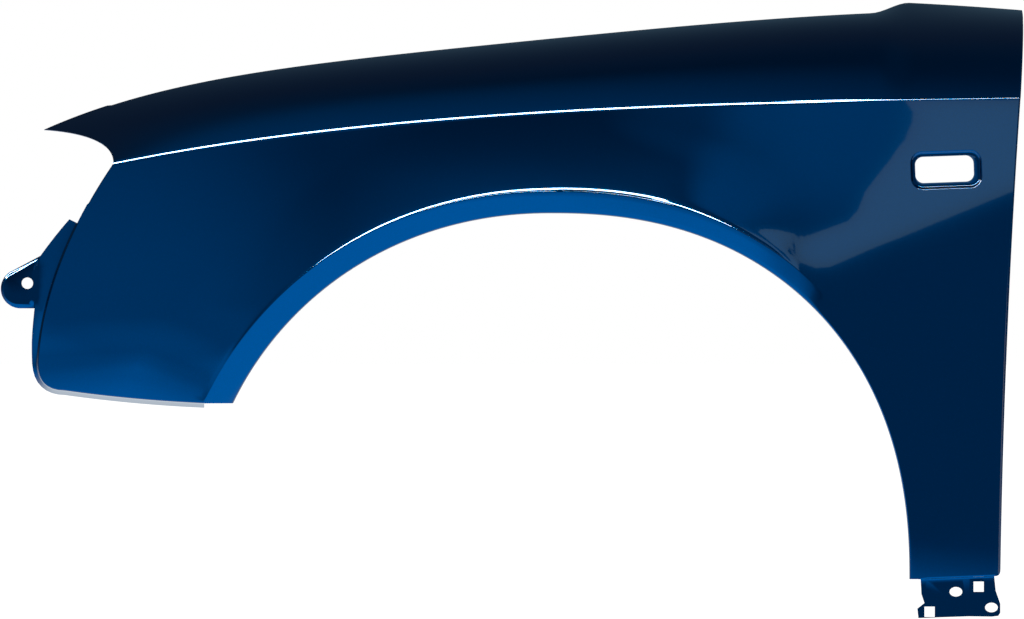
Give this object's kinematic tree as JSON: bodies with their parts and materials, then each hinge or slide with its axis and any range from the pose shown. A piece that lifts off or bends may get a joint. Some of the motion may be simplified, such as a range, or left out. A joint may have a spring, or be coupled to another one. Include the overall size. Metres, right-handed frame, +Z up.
{
  "type": "car front fender",
  "caption": "Left front fender of a passenger car: a painted steel skin with a wheel arch, a shoulder crease, a side repeater window and folded mounting flanges",
  "frame": {"origin": "The middle of the underside of the rail flange, between two of its bolt holes", "axes": "+X runs to the rear of the car, +Y inboard from the outer face and +Z up, as fitted to a car on level ground"},
  "size_m": [1.0308, 0.2394, 0.6189],
  "materials": {
    "blue_paint": "deep metallic blue under clear gloss lacquer"
  },
  "bodies": {
    "root": {"fender_panel": "blue_paint"}
  },
  "joints": []
}
